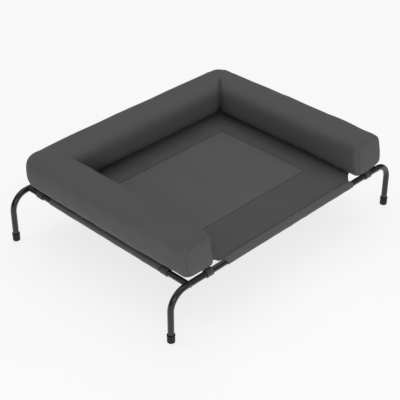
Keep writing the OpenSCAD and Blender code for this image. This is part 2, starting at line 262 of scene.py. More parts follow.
def spread(tree, mask, low, high):
    """A value from low to high, by a mask."""
    return put(tree, "ShaderNodeMapRange", Value=mask, i1=MASK_LOW, i2=MASK_HIGH, i3=low, i4=high).outputs[0]


def cloth_finish(name, dark, light, threads, depth, sheen):
    """Woven cloth: weave and slubs on the UV map, soft mottling on Object coordinates."""
    material, tree, shader = new_finish(name)
    place = tree.nodes.new("ShaderNodeTexCoord").outputs
    weave = put(tree, "ShaderNodeGroup", node_tree=WEAVE, Cloth=place["UV"], Threads=threads).outputs
    mottle = put(tree, "ShaderNodeGroup", node_tree=MOTTLE, Place=place["Object"], Scale=CLOTH_SCALE).outputs
    tone = calc(tree, "ADD", calc(tree, "MULTIPLY", mottle["Mask"], MOTTLE_TONE),
                calc(tree, "MULTIPLY", weave["Slub"], SLUB_TONE))
    tone = calc(tree, "ADD", tone, calc(tree, "MULTIPLY", weave["Height"], THREAD_TONE))
    tree.links.new(between(tree, tone, dark, light), shader.inputs["Base Color"])
    tree.links.new(spread(tree, mottle["Fine"], *CLOTH_ROUGH), shader.inputs["Roughness"])
    height = calc(tree, "ADD", weave["Height"], calc(tree, "MULTIPLY", weave["Slub"], SLUB_RISE))
    bump = put(tree, "ShaderNodeBump", Height=height, Strength=CLOTH_BUMP, Distance=depth)
    tree.links.new(bump.outputs[0], shader.inputs["Normal"])
    shader.inputs["Sheen Weight"].default_value = sheen
    shader.inputs["Sheen Roughness"].default_value = 0.5
    shader.inputs["Specular IOR Level"].default_value = 0.25
    return material


def hard_finish(name, dark, light, rough, metal, scale, depth, gloss=0.5):
    """Paint, plastic, rubber, steel or thread: mottled colour and gloss, with a fine skin in the bump."""
    material, tree, shader = new_finish(name)
    place = tree.nodes.new("ShaderNodeTexCoord").outputs
    mottle = put(tree, "ShaderNodeGroup", node_tree=MOTTLE, Place=place["Object"], Scale=scale).outputs
    tree.links.new(between(tree, mottle["Mask"], dark, light), shader.inputs["Base Color"])
    tree.links.new(spread(tree, mottle["Fine"], *rough), shader.inputs["Roughness"])
    bump = put(tree, "ShaderNodeBump", Height=mottle["Fine"], Strength=SKIN_BUMP, Distance=depth)
    tree.links.new(bump.outputs[0], shader.inputs["Normal"])
    shader.inputs["Metallic"].default_value = metal
    shader.inputs["Specular IOR Level"].default_value = gloss
    return material


def grey(value):
    """A neutral colour."""
    return (value, value, value)


# Colours dark and light, then for cloth threads in a metre, depth and sheen, and for the others roughness
# from and to, metal, scale of the mottling, depth of the skin and gloss
SLING_CLOTH = cloth_finish("sling canvas", grey(0.090), grey(0.103), 1300.0, 0.25 * MM, 0.05)
# The sleeves use the sling's canvas painted lighter: painted light standing in for the front light on their
# round
SLEEVE_CLOTH_PAINTED_LIT = cloth_finish("sleeve canvas painted lighter", grey(0.115), grey(0.131), 1300.0, 0.25 * MM, 0.06)
# The centre is lighter than the border: partly the mesh cloth's own lighter tone, partly painted light for
# the floor's light showing through its open weave
CENTER_CLOTH = cloth_finish("open centre cloth", grey(0.111), grey(0.127), 700.0, 0.4 * MM, 0.05)
PAD_CLOTH = cloth_finish("bolster canvas", grey(0.103), grey(0.117), 1300.0, 0.25 * MM, 0.06)
THREAD = hard_finish("sewing thread", grey(0.086), grey(0.104), (0.6, 0.8), 0.0, 300.0, 0.1 * MM, gloss=0.3)
TUBE_PAINT = hard_finish("black tube paint", (0.009, 0.0086, 0.0079), (0.014, 0.0133, 0.0123), (0.18, 0.27),
                         0.0, 30.0, 0.03 * MM, gloss=0.55)
COLLAR_PLASTIC = hard_finish("black collar plastic", (0.057, 0.0557, 0.0515), (0.075, 0.0733, 0.0678),
                             (0.36, 0.46), 0.0, 60.0, 0.05 * MM, gloss=0.4)
FOOT_RUBBER = hard_finish("black foot rubber", grey(0.011), grey(0.016), (0.5, 0.68), 0.0, 60.0, 0.08 * MM,
                          gloss=0.3)
BOLT_STEEL = hard_finish("black bolt steel", grey(0.17), grey(0.23), (0.3, 0.4), 1.0, 120.0, 0.02 * MM)
INSERT_STEEL = hard_finish("plain insert steel", grey(0.42), grey(0.52), (0.3, 0.45), 1.0, 120.0, 0.02 * MM)

FINISH_OF_SLOT = {"tube_paint": TUBE_PAINT, "collar_plastic": COLLAR_PLASTIC, "foot_rubber": FOOT_RUBBER,
                  "bolt_steel": BOLT_STEEL, "insert_steel": INSERT_STEEL, "sling_cloth": SLING_CLOTH,
                  "mesh_cloth": CENTER_CLOTH, "bolster_cloth": PAD_CLOTH, "stuffing": PAD_CLOTH}
for subpart in frame["record"]["subparts"]:
    node = frame["nodes"][subpart["node"]]
    node.data.materials.clear()
    node.data.materials.append(FINISH_OF_SLOT[subpart["material_slot"]])


# Sling

# Slanted ends of the sling in mm, as distances from the side rail's axis and from the cross rail's axis
CUTS = {
    (-1, -1): [(134, 15.5), (124, 26), (112, 34.5), (90, 50), (50, 77), (26, 93.5), (15.5, 100)],
    (1, -1): [(116, 15.5), (105.3, 26), (94.6, 33.5), (81.9, 41.1), (45, 67), (26, 82), (15.5, 95)],
    (1, 1): [(116, 15.5), (105.3, 26), (94.6, 34), (81.9, 43), (45, 70), (26, 86), (15.5, 100)],
    (-1, 1): [(134, 15.5), (124, 26), (112, 35), (90, 52), (50, 81), (26, 98), (15.5, 105)],
}
# Sag in the middle, and how deep and how far from a hem the sewing draws the sling down
SAG, HEM_DIP, HEM_REACH = 2.5 * MM, 3.2 * MM, 9 * MM
# Unevenness: height and wave length of the slow one, and the margin over which it starts
SLOW_RISE, SLOW_WAVE, SLOW_MARGIN = 0.5 * MM, 160 * MM, 100 * MM
# The same for the short ripples along the hems, and the distance over which they die out
HEM_RISE, HEM_WAVE, HEM_FADE = 0.25 * MM, 50 * MM, 30 * MM
# Hem of the slanted ends, its extra thickness, and the step down from it
CUT_HEM, CUT_FOLD, CUT_STEP = 11 * MM, 0.9 * MM, 5 * MM
# Points along each part of the border's outlines, in turn a rail's hem and a slanted end, rows between the
# outlines and how much closer together they are at the hems
LOOP_COUNTS = [61, 25, 47, 25, 61, 25, 47, 25]
BORDER_ROWS, BORDER_CROWD = 33, 0.6
# Share of each window side that belongs to its corner
WINDOW_CORNER = 40 * MM
# Centre panel: thickness, lap under the border, rise inside the window and the width of that step, the play
# under the border, its grid and its flat size
CENTER_T, CENTER_LAP, CENTER_RISE, CENTER_STEP, CENTER_PLAY = 0.8 * MM, 10 * MM, 0.6 * MM, 8 * MM, 0.1 * MM
CENTER_COLS, CENTER_ROWS = 81, 61


def hem_dip(inwards):
    """How far the sewing draws the sling down near a hem, by an exponential of the distance from it."""
    return HEM_DIP * np.exp(-np.abs(inwards - HEM) / HEM_REACH)


def sling_height(x, y):
    """Height of the sling's top face: level at the rails, a shallow sag that is a product of two
    parabolas, slow unevenness, and a dip and short ripples along the hems."""
    sag = SAG * np.clip(1 - (x / HALF_W) ** 2, 0, 1) * np.clip(1 - (y / HALF_D) ** 2, 0, 1)
    from_side, from_end = HALF_W - np.abs(x), HALF_D - np.abs(y)
    slow = SLOW_RISE * ripples(x, y, SLOW_WAVE, 3) * fade(np.minimum(from_side, from_end), HEM, SLOW_MARGIN)
    near_end = np.exp(-np.abs(from_end - HEM) / HEM_FADE) * ripples(x, 0 * x, HEM_WAVE, 5)
    near_side = np.exp(-np.abs(from_side - HEM) / HEM_FADE) * ripples(y, 0 * y, HEM_WAVE, 6)
    dip = hem_dip(from_side) + hem_dip(from_end)
    return SLING_TOP - sag - dip + slow + HEM_RISE * (near_end + near_side)


def cut_line(side, end, count):
    """Points of a slanted end from the cross rail's hem to the side rail's hem."""
    inset = spline(CUTS[side, end], count) * MM
    return np.stack([side * (HALF_W - inset[:, 0]), end * (HALF_D - inset[:, 1])], 1)


def border_loops():
    """Outer and inner outline of the border, point for point: four hem lines joined by four slanted ends
    outside, and the window with a share of each side given to its corners inside."""
    long, corner, short = LOOP_COUNTS[:3]
    cuts = {key: cut_line(*key, corner) for key in CUTS}
    cuts[1, 1], cuts[-1, -1] = cuts[1, 1][::-1], cuts[-1, -1][::-1]
    outer = [line(cuts[-1, -1][-1], cuts[1, -1][0], long), cuts[1, -1],
             line(cuts[1, -1][-1], cuts[1, 1][0], short), cuts[1, 1],
             line(cuts[1, 1][-1], cuts[-1, 1][0], long), cuts[-1, 1],
             line(cuts[-1, 1][-1], cuts[-1, -1][0], short), cuts[-1, -1]]

    def bend(a, b, c):
        return even_points(np.array([a, b, c], float), corner)

    x0, x1, y0, y1 = -WINDOW_X, WINDOW_X, WINDOW_FRONT, WINDOW_REAR
    x2, x3 = x0 + WINDOW_CORNER, x1 - WINDOW_CORNER
    y2, y3 = y0 + WINDOW_CORNER, y1 - WINDOW_CORNER
    inner = [line((x2, y0), (x3, y0), long), bend((x3, y0), (x1, y0), (x1, y2)),
             line((x1, y2), (x1, y3), short), bend((x1, y3), (x1, y1), (x3, y1)),
             line((x3, y1), (x2, y1), long), bend((x2, y1), (x0, y1), (x0, y3)),
             line((x0, y3), (x0, y2), short), bend((x0, y2), (x0, y0), (x2, y0))]
    return [np.concatenate([part[:-1] for part in loop]) for loop in (outer, inner)]


HEM_LOOP, WINDOW_LOOP = border_loops()


def sling_border():
    """The border: straight lines from the window's outline to the outer outline, closer together near the
    hems, laid on the sling. Along the slanted ends it is folded once, so it stands a little higher."""
    share = np.linspace(0, 1, BORDER_ROWS)[:, None, None]
    share = share * (1 + BORDER_CROWD - BORDER_CROWD * share)
    flat = WINDOW_LOOP + (HEM_LOOP - WINDOW_LOOP) * share
    x, y = flat[..., 0], flat[..., 1]
    slanted = np.concatenate([np.repeat(part % 2, count - 1) for part, count in enumerate(LOOP_COUNTS)])
    from_edge = np.linalg.norm(HEM_LOOP - flat, axis=-1)
    fold = CUT_FOLD * slanted * (1 - fade(from_edge, CUT_HEM, CUT_HEM + CUT_STEP))
    points = np.stack([x, y, sling_height(x, y) + fold], -1)
    wide = np.concatenate([flat, flat[:, :1]], 1)
    uv = grid_uv(wide[..., 0], wide[..., 1], flip=True)
    faces = grid_faces(*flat.shape[:2], wrap=True, flip=True)
    piece = make_piece("sling_border_cloth", points, faces, uv, SLING_CLOTH, "frame")
    thicken(piece, CLOTH_T)
    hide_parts("sling_border")
    return piece


def sling_center():
    """The centre panel: a grid under the window, a cloth's thickness below the border at its edges, which
    rises by a smooth step inside the window."""
    x = np.linspace(-WINDOW_X - CENTER_LAP, WINDOW_X + CENTER_LAP, CENTER_COLS)
    y = np.linspace(WINDOW_FRONT - CENTER_LAP, WINDOW_REAR + CENTER_LAP, CENTER_ROWS)
    x, y = np.meshgrid(x, y)
    inside = np.minimum(WINDOW_X - np.abs(x), np.minimum(y - WINDOW_FRONT, WINDOW_REAR - y))
    low = CLOTH_T + CENTER_PLAY - CENTER_RISE * fade(inside, 0, CENTER_STEP)
    points = np.stack([x, y, sling_height(x, y) - low], -1)
    faces, uv = grid_faces(*x.shape), grid_uv(x, y)
    piece = make_piece("sling_center_cloth", points, faces, uv, CENTER_CLOTH, "frame")
    thicken(piece, CENTER_T)
    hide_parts("sling_center")
    return piece


# Sleeves

# Where the rise from the seam ends, the angles in degrees between which the sleeve is round, how far it
# hangs under the rail, how far its lap reaches under the sling and lies below it, and its thickness
RISE_IN, RISE_UP = 11.4 * MM, 0.9 * MM
SLEEVE_TURN, SLEEVE_HANG = (40, 318), 0.5 * MM
HEM_LAP, LAP_DROP, SLEEVE_T = 10 * MM, 1.5 * MM, 1.0 * MM
# Points round a sleeve, and along it on a cross rail and on a side rail
PROFILE_POINTS, CROSS_POINTS, SIDE_POINTS = 72, 120, 105
# Shares of the profile between which it leaves the seam, meets the lap, and starts and ends its round
LEAVES_SEAM, MEETS_LAP, STARTS_ROUND, ENDS_ROUND = (0.0, 0.1), (0.8, 0.86), (0.06, 0.14), (0.7, 0.8)
# Even swell of the round, and height, wave length and slant of its puckers
SLEEVE_SWELL, PUCKER_RISE, PUCKER_WAVE, PUCKER_SLANT = 0.2 * MM, 0.35 * MM, 50 * MM, 120 * MM
# Distances in mm of both ends of a sleeve from the ends of its rail's axis, at shares of the profile
END_STOPS = [0, 0.08, 0.26, 0.45, 0.68, 0.88, 1]
CROSS_ENDS = [(134, 140, 144, 153, 158, 160, 160), (116, 122.5, 123.5, 124, 125, 127, 127)]
LEFT_ENDS = [(100, 104, 106, 108, 109, 110, 110), (105, 109, 110, 111, 112, 113, 113)]
RIGHT_ENDS = [(95, 104, 105, 106, 107, 108, 108), (100, 109, 110, 111, 112, 113, 113)]


def sleeve_profile():
    """Round of a sleeve from its seam over the rail and back under it, then on under the sling as a hem:
    (inwards, up) from the rail's axis. The round is a circle that hangs a little."""
    seam_up = SLING_TOP - RAIL_H - HEM_DIP
    rise = line((HEM, seam_up), (RISE_IN, seam_up + RISE_UP), 4)
    angle = np.radians(np.linspace(*SLEEVE_TURN, 40))
    radius = SLEEVE_R + SLEEVE_HANG * np.clip(-np.sin(angle), 0, 1)
    circle = np.stack([radius * np.cos(angle), radius * np.sin(angle)], 1)
    low = seam_up - CLOTH_T - LAP_DROP
    lap = line((HEM, low), (HEM + HEM_LAP, low + HEM_DIP - hem_dip(HEM + HEM_LAP)), 8)
    return spline(np.concatenate([rise, circle, lap]), PROFILE_POINTS)


def sleeve(rail, ends, seed):
    """A sleeve: its profile carried along the rail between two slanted ends. Near its seam it follows the
    sling's own unevenness, and small puckers run across its round."""
    profile = sleeve_profile()
    share = np.linspace(0, 1, len(profile))[:, None]
    first, last = (np.interp(share, END_STOPS, np.array(end)) * MM for end in ends)
    cross = rail in ("front", "rear")
    half_run, half_across = (HALF_W, HALF_D) if cross else (HALF_D, HALF_W)
    length = 2 * half_run - first - last
    a = first - half_run + np.linspace(0, 1, CROSS_POINTS if cross else SIDE_POINTS) * length
    b = np.broadcast_to(profile[:, :1], a.shape)
    sign = -1 if rail in ("front", "left") else 1

    def place(inwards):
        across = sign * (half_across - inwards)
        return (a, across) if cross else (across, a)

    sewn = 1 - fade(share, *LEAVES_SEAM) + fade(share, *MEETS_LAP)
    c = profile[:, 1:] + sewn * (sling_height(*place(b)) - SLING_TOP + hem_dip(b))
    swell = SLEEVE_SWELL + PUCKER_RISE * ripples(a, PUCKER_SLANT * share, PUCKER_WAVE, seed)
    on_round = fade(share, *STARTS_ROUND) - fade(share, *ENDS_ROUND)
    grow = 1 + np.clip(swell, 0, None) * on_round / np.hypot(b, c)
    points = np.stack([*place(b * grow), RAIL_H + c * grow], -1)
    flip = rail in ("front", "right")
    arc = run_along(profile)[:, None]
    faces, uv = grid_faces(*a.shape, flip=flip), grid_uv(a, arc, flip=flip)
    # Its canvas is the sling's canvas painted lighter, as painted light on the sleeve's round
    piece = make_piece(rail + "_sleeve_cloth", points, faces, uv, SLEEVE_CLOTH_PAINTED_LIT, "frame")
    thicken(piece, SLEEVE_T)
    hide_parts(rail + "_sleeve")


# Stitches

# Pitch and half thickness, how far they stand on the sling, and their rows' distance from hem and window
STITCH_PITCH, THREAD_R, STITCH_UP = 4.2 * MM, 0.5 * MM, 0.2 * MM
HEM_ROW, WINDOW_ROW = 2.5 * MM, 4 * MM
STITCH_SIDES, STITCH_STOPS = 6, [-0.97, -0.6, 0.0, 0.6, 0.97]


def stitch_shape():
    """One stitch of thread: a ring of six points carried along X, with a radius that follows a half circle,
    and closed by two quads at each end."""
    along = np.array(STITCH_STOPS)[:, None]
    angle = np.arange(STITCH_SIDES)[None] * 2 * np.pi / STITCH_SIDES
    r = THREAD_R * np.sqrt(1 - along ** 2)
    rings = np.stack(np.broadcast_arrays(along, r * np.cos(angle), r * np.sin(angle)), -1)
    cap = np.array([[0, 1, 2, 3], [0, 3, 4, 5]])
    far_cap = cap + (len(along) - 1) * STITCH_SIDES
    walls = grid_faces(len(along), STITCH_SIDES, wrap=True)
    return rings.reshape(-1, 3), np.concatenate([walls, cap[:, ::-1], far_cap])


def stitch_row(path):
    """Start and end points of the stitches of one row: the path is cut into equal parts, and each stitch
    takes three quarters of one. They lie on the sling, partly sunk into it."""
    length = np.linalg.norm(np.diff(path, axis=0), axis=1).sum()
    marks = even_points(path, 4 * int(length / STITCH_PITCH) + 1)
    marks = np.concatenate([marks, sling_height(marks[:, :1], marks[:, 1:]) + STITCH_UP], 1)
    return marks[:-1:4], marks[3::4]


def beside(loop, distance):
    """A line that runs at a distance to the left of another."""
    along = np.gradient(loop, axis=0)
    left = np.stack([-along[:, 1], along[:, 0]], 1) / np.linalg.norm(along, axis=1, keepdims=True)
    return loop + distance * left


def sling_stitches():
    """All the stitches of the sling: a row along each rail's hem and each slanted end's, and one round the
    window."""
    stops = np.cumsum([count - 1 for count in LOOP_COUNTS])
    parts = np.split(np.concatenate([HEM_LOOP, HEM_LOOP[:1]]), stops[:-1])
    rows = [beside(part, CUT_HEM if k % 2 else HEM_ROW) for k, part in enumerate(parts)]
    rows.append(beside(np.concatenate([WINDOW_LOOP, WINDOW_LOOP[:1]]), -WINDOW_ROW))
    start, end = (np.concatenate(part) for part in zip(*(stitch_row(row) for row in rows)))
    reach = (end - start) / 2
    ahead = reach / np.linalg.norm(reach, axis=1, keepdims=True)
    left = np.cross([0, 0, 1], ahead)
    left = left / np.linalg.norm(left, axis=1, keepdims=True)
    shape, faces = stitch_shape()
    ways = np.stack([reach, left, np.cross(ahead, left)], 1)
    points = ((start + end) / 2)[:, None] + shape @ ways
    faces = (np.arange(len(points))[:, None, None] * len(shape) + faces).reshape(-1, 4)
    return make_piece("sling_stitching", points, faces, None, THREAD, "frame")


border, center = sling_border(), sling_center()
for rail, ends, seed in (("front", CROSS_ENDS, 18), ("rear", CROSS_ENDS, 17), ("left", LEFT_ENDS, 17),
                         ("right", RIGHT_ENDS, 18)):
    sleeve(rail, ends, seed)
stitching = sling_stitches()


# Bolster

# Points on each side of a section, round it, and inside the grid that closes an end
SIDE = 16
AROUND, INSIDE = 4 * SIDE, (SIDE - 1) ** 2
# Forms of the section: half widths in mm on the outer and the inner side of the U, the powers of its upper
# outer, upper inner, lower outer and lower inner quarter, and how far in mm its upper outer corner hangs,
# its lower outer corner is lifted, its upper outer corner is drawn in and its lower inner corner spreads
MID_FORM = np.array([64.5, 70.0, 3.4, 3.2, 2.5, 2.7, 0.0, 0.0, 0.0, 0.0])
CORNER_FORM = np.array([64.5, 70.0, 3.15, 3.2, 2.5, 2.7, 0.0, 0.0, 0.0, 0.0])
LEFT_END_FORM = np.array([55.0, 60.0, 9.0, 6.5, 2.85, 8.0, 9.0, 0.0, 0.0, 8.0])
RIGHT_END_FORM = np.array([63.0, 64.0, 9.0, 4.6, 9.0, 5.0, 8.0, 10.0, 5.0, 0.0])
# Share by which the section is drawn in at corners and ends, shares of an arm or of half the back where the
# end's form gives way and the corner's comes in, and the power by which the corners' radius grows outwards
DRAW_IN, LEAVES_END, NEARS_CORNER, CORNER_POWER = 0.008, (0.0, 0.35), (0.5, 1.0), 1.3
# Rings of an arm and of the back, steps of a corner, and how much closer the rings are towards the corners
ARM_RINGS, BACK_RINGS, CORNER_STEPS, RING_CROWD = 76, 91, 13, 0.35
# Uneven stuffing: size of the ripples, their length on arms and back and where they start and end there, and
# the swells (middle, size, width) of the right arm and of the back, all as shares
RIPPLE, ARM_WAVE, BACK_WAVE = 0.004, 0.22, 0.4
ARM_START, ARM_END, BACK_END = (0.0, 0.2), (0.8, 1.0), (0.75, 1.0)
RIGHT_SWELLS, BACK_SWELLS = [(0.55, 0.01, 0.3)], [(-0.6, 0.008, 0.35), (0.5, -0.005, 0.35)]
# Rounding of an end's outer, inner, upper and lower edge, and how far in degrees it has turned at the seam
LEFT_ROUND, LEFT_TURN = np.array([22, 10, 15, 24]) * MM, np.array([25, 25, 30, 25])
RIGHT_ROUND, RIGHT_TURN = np.array([9, 20, 6, 8]) * MM, np.array([25, 12, 35, 25])
# Seam round an end: its depth in mm, the marks where it is deeper (point, depth in mm, width in points), and
# its share at each ring of the rounding
SEAM_DEPTH, SEAM_SHARE = 0.05, np.array([1, 0.25, 0, 0, 0])
LEFT_MARKS, RIGHT_MARKS = [(29, 2.0, 5), (3 * SIDE, 0.3, 4)], [(2 * SIDE, 1.4, 2)]
# Pinched corners of an end's seam (point, depth), the reach of a pinch, and how far into the arm it is drawn
PINCHES, PINCH_REACH, PINCH_IN = [(2 * SIDE, 3 * MM), (3 * SIDE, 1.5 * MM)], 8 * MM, 40 * MM
# End panels: front, lean and the height from which they lean, crown, its power and their thickness, and the
# dish behind them
PANEL_Y, PANEL_LEAN, LEAN_FROM = -354 * MM, 9 * MM, 20 * MM
PANEL_CROWN, CROWN_POWER, PANEL_T, DISH = 5 * MM, 5, 1.6 * MM, 6 * MM
# Seams of the rear corners: depth and reach of the right one and of the valley round it, then depth of the
# left one, its reach on arm and back and how far it has been drawn over, and where both end over the top
RIGHT_SEAM, RIGHT_REACH, VALLEY, VALLEY_REACH = 12 * MM, 2.5 * MM, 3 * MM, 18 * MM
LEFT_SEAM, LEFT_ARM_REACH, LEFT_BACK_REACH, LEFT_SHIFT = 4 * MM, 8 * MM, 110 * MM, 22 * MM
SEAM_FULL, SEAM_END = -42 * MM, -8 * MM
# Rest: joints of side and cross rails, half length of a collar, and the play over sleeves and sling
SIDE_JOINTS, CROSS_JOINTS = (-HALF_D + 89 * MM, HALF_D - 60 * MM), (-HALF_W + 79 * MM, HALF_W - 44 * MM)
COLLAR_HALF, SLEEVE_PLAY, SLING_PLAY, REST_ROUND = 13 * MM, 0.6 * MM, 0.3 * MM, 1 * MM
# Stuffing run: frames and cloth settings, and what is held: the base and the deep part of the corner seams
RUN_FRAMES, BASE_HELD, SEAM_HELD = 20, 4 * MM, 3 * MM
SKIN_SETTINGS = {"quality": 6, "mass": 0.02, "tension_stiffness": 40, "compression_stiffness": 40,
                 "bending_stiffness": 0.2, "tension_damping": 25, "compression_damping": 25,
                 "vertex_group_mass": "sewn", "use_pressure": True, "uniform_pressure_force": 4,
                 "shrink_min": -0.02}
# Puckers: share of the movement that is kept, the most that a point moves, and the rings over which they are
# smoothed, freed of their mean and faded in from the end seams
PUCKER_SHARE, PUCKER_CAP = 0.4, 1.1 * MM
SMOOTH_SPAN, MEAN_SPAN, FADE_SPAN = 1, 9, 12
# Cloth round a section and across an end in metres, for the weave
ROUND_CLOTH, END_CLOTH = 0.41, 0.1


def ring_angles():
    """Angles round the section, from the inner lower corner: outwards is 0 and up is a quarter turn. In
    each quarter the tangent of the angle runs evenly, which spreads the points along a squarish side."""
    quarter = np.arctan(np.linspace(-1, 1, SIDE + 1)[:-1])
    return np.concatenate([quarter + q * np.pi / 2 for q in (-1, 0, 1, 2)])


COS, SIN = np.cos(ring_angles()), np.sin(ring_angles())
OUTER, INNER, UPPER, LOWER = (np.clip(v, 0, 1) ** 2 for v in (COS, -COS, SIN, -SIN))


def section(scale, form, inset=0.0):
    """Super-ellipses, one a row: |out/a|^p + |up/b|^p = 1, with a half width for each side and a power for
    each quarter. Its corners are then shifted, by the product of the shares of both half widths."""
    form = np.broadcast_to(form, (len(scale), len(MID_FORM)))
    power = form[:, 2 + np.where(SIN >= 0, 0, 2) + np.where(COS >= 0, 0, 1)]
    k = (np.abs(COS) ** power + np.abs(SIN) ** power) ** (-1 / power)
    scale = np.asarray(scale)[:, None]
    half = form[:, np.where(COS >= 0, 0, 1)] * MM * scale - inset
    outer, inner, upper, lower = (np.clip(v * k, 0, 1) for v in (COS, -COS, SIN, -SIN))
    hang, lift, lean, spread = (form[:, 6 + v, None] * MM for v in range(4))
    out = half * COS * k - lean * outer * upper - spread * inner * lower
    up = PAD_Z + PAD_B * scale + (PAD_B * scale - inset) * SIN * k
    return out, up - hang * outer * upper + lift * outer * lower


def towards_corner(q):
    """Forms of the section on the way to a corner, which is leaner on its upper outer side."""
    near = fade(q, *NEARS_CORNER)[:, None]
    return (1 - near) * MID_FORM + near * CORNER_FORM


def corner_radius(out):
    """Plan radius of a point's path round a corner: tight inside the middle line, growing outside it by a
    power of the distance."""
    return CORNER_IN + (CORNER_OUT - CORNER_IN) * np.clip(out / (MID_FORM[0] * MM), 0, 1) ** CORNER_POWER


def panel_lean(up):
    """How far an end stands back from the floor up, because the stuffing settles."""
    return PANEL_LEAN * fade(up, PAD_Z + LEAN_FROM, PAD_Z + 2 * PAD_B)


def seam_depth(marks):
    """How deep the end seam is drawn in round the ring: a little everywhere, and more near marked points,
    by bell curves."""
    return with_bells(np.arange(AROUND), SEAM_DEPTH, marks) * MM


def arm_rings(side, end_form, rounds, turns, marks, swells, seed):
    """Rings of one arm from the seam round its end to its corner: part of a quarter round of the end, whose
    first ring is drawn into the seam, then a straight stretch with closer rings towards the corner. Its
    section is drawn in at both ends by a parabola, and on the way it ripples, and swells by bell curves."""
    ways = np.stack([OUTER, INNER, UPPER, LOWER])
    seam_turn = np.radians(turns @ ways)
    turn = seam_turn + (np.pi / 2 - seam_turn) * np.linspace(0, 1, len(SEAM_SHARE) + 1)[:-1, None]
    r = rounds @ ways
    drawn = seam_depth(marks) * SEAM_SHARE[:, None]
    full = np.full(len(turn), 1 - DRAW_IN)
    out, up = section(full, end_form, r * (1 - np.sin(turn)) + drawn * np.sin(turn))
    y = PANEL_Y + r * (1 - np.cos(turn)) + drawn * np.cos(turn) + panel_lean(up)
    cap = np.stack([side * (ARM_X + out), y, up], -1)
    q = np.linspace(0, 1, ARM_RINGS)
    q = q + RING_CROWD * (q ** 2 - q ** 4)
    square = 1 - fade(q, *LEAVES_END)[:, None]
    form = square * end_form + (1 - square) * towards_corner(q)
    uneven = RIPPLE * ripples(q, 0 * q, ARM_WAVE, seed) * fade(q, *ARM_START) * (1 - fade(q, *ARM_END))
    out, up = section(1 - DRAW_IN * (2 * q - 1) ** 2 + with_bells(q, uneven, swells), form)
    start = PANEL_Y + r + panel_lean(up)
    y = start + q[:, None] * (BACK_Y + out - corner_radius(out) - start)
    return np.concatenate([cap, np.stack([side * (ARM_X + out), y, up], -1)])


def corner_rings(side):
    """Rings of a corner: each point turns a quarter circle of its own radius."""
    turn = np.radians(np.linspace(0, 90, CORNER_STEPS)[1:-1])[:, None]
    out, up = section(np.full(len(turn), 1 - DRAW_IN), CORNER_FORM)
    r = corner_radius(out)
    x = side * (ARM_X + out - r + r * np.cos(turn))
    return np.stack([x, BACK_Y + out - r + r * np.sin(turn), up], -1)


def back_rings():
    """Rings of the back, from the left corner to the right one, closer together near the corners. Its
    section is drawn in at both ends by a parabola, and on the way it ripples, and swells by bell curves."""
    q = np.linspace(-1, 1, BACK_RINGS)
    q = q + RING_CROWD * (q - q ** 3)
    uneven = RIPPLE * ripples(q, 0 * q, BACK_WAVE, 23) * (1 - fade(np.abs(q), *BACK_END))
    out, up = section(1 - DRAW_IN * q ** 2 + with_bells(q, uneven, BACK_SWELLS), towards_corner(np.abs(q)))
    return np.stack([q[:, None] * (ARM_X + out - corner_radius(out)), BACK_Y + out, up], -1)


def mitre_depth(points):
    """How far the skin is drawn in along the seams of the rear corners, by exponentials of the distance
    from the seam: full on the inner face, fading out over the top. The right seam is narrow, in a soft
    valley. The left one has been drawn over towards the back, steep on the arm and flat on the back."""
    out_x, out_y = np.abs(points[..., 0]) - ARM_X, points[..., 1] - BACK_Y
    off = (out_y - out_x) / math.sqrt(2)
    right = RIGHT_SEAM * np.exp(-np.abs(off) / RIGHT_REACH) + VALLEY * np.exp(-np.abs(off) / VALLEY_REACH)
    off = off - LEFT_SHIFT
    left = LEFT_SEAM * np.exp(-np.abs(off) / np.where(off < 0, LEFT_ARM_REACH, LEFT_BACK_REACH))
    share = 1 - fade(np.maximum(out_x, out_y), SEAM_FULL, SEAM_END)
    return np.where(points[..., 0] < 0, left, right) * share


def ring_normals(rings):
    """Outward directions of the points of a ring surface: the cross product of its two tangents."""
    around = np.roll(rings, -1, 1) - np.roll(rings, 1, 1)
    normal = np.cross(around, np.gradient(rings, axis=0))
    return normal / np.linalg.norm(normal, axis=-1, keepdims=True)


def end_grid(ring):
    """The end panel's grid: its edge is the ring, four sides of a square, and the inside is the sum of the
    straight blends between opposite sides less that between the four corners."""
    low, right = ring[:SIDE + 1], ring[SIDE:2 * SIDE + 1]
    high, left = ring[2 * SIDE:3 * SIDE + 1][::-1], np.concatenate([ring[3 * SIDE:], ring[:1]])[::-1]
    u = np.linspace(0, 1, SIDE + 1)[None, :, None]
    v = np.linspace(0, 1, SIDE + 1)[:, None, None]
    blend = (1 - v) * low[None] + v * high[None] + (1 - u) * left[:, None] + u * right[:, None]
    corners = (1 - u) * (1 - v) * low[0] + u * (1 - v) * low[-1] + (1 - u) * v * high[0] + u * v * high[-1]
    return blend - corners


def panel_bulge():
    """How far an end panel stands out from its seam: one less a high power in both directions."""
    shape = 1 - np.abs(np.linspace(-1, 1, SIDE + 1)) ** CROWN_POWER
    return shape[:, None] * shape[None, :]


def end_inside(ring, push):
    """The points inside an end's grid, pushed backwards by the bulge."""
    grid = end_grid(ring)
    grid[..., 1] += panel_bulge() * push
    return grid[1:-1, 1:-1].reshape(-1, 3)


def closing_faces(ring, first, flip):
    """Quads that close a ring with a grid: the ring's own points round it, and inside it points that are
    numbered from first."""
    table = np.empty((SIDE + 1, SIDE + 1), int)
    edge = ring * AROUND + np.arange(AROUND)
    table[0, :-1], table[:-1, -1] = edge[:SIDE], edge[SIDE:2 * SIDE]
    table[-1, :0:-1], table[:0:-1, 0] = edge[2 * SIDE:3 * SIDE], edge[3 * SIDE:]
    table[1:-1, 1:-1] = first + np.arange(INSIDE).reshape(SIDE - 1, SIDE - 1)
    return table.ravel()[grid_faces(SIDE + 1, SIDE + 1, flip=flip)]


def skin_faces(count):
    """Faces of the rings of the skin and of the grids that close them."""
    first = count * AROUND
    return np.concatenate([grid_faces(count, AROUND, wrap=True), closing_faces(0, first, True),
                           closing_faces(count - 1, first + INSIDE, False)])


def end_uv(flip=False):
    """UVs of a grid that closes an end."""
    spot = np.linspace(0, END_CLOTH, SIDE + 1)
    return grid_uv(spot[None], spot[:, None], flip=flip)


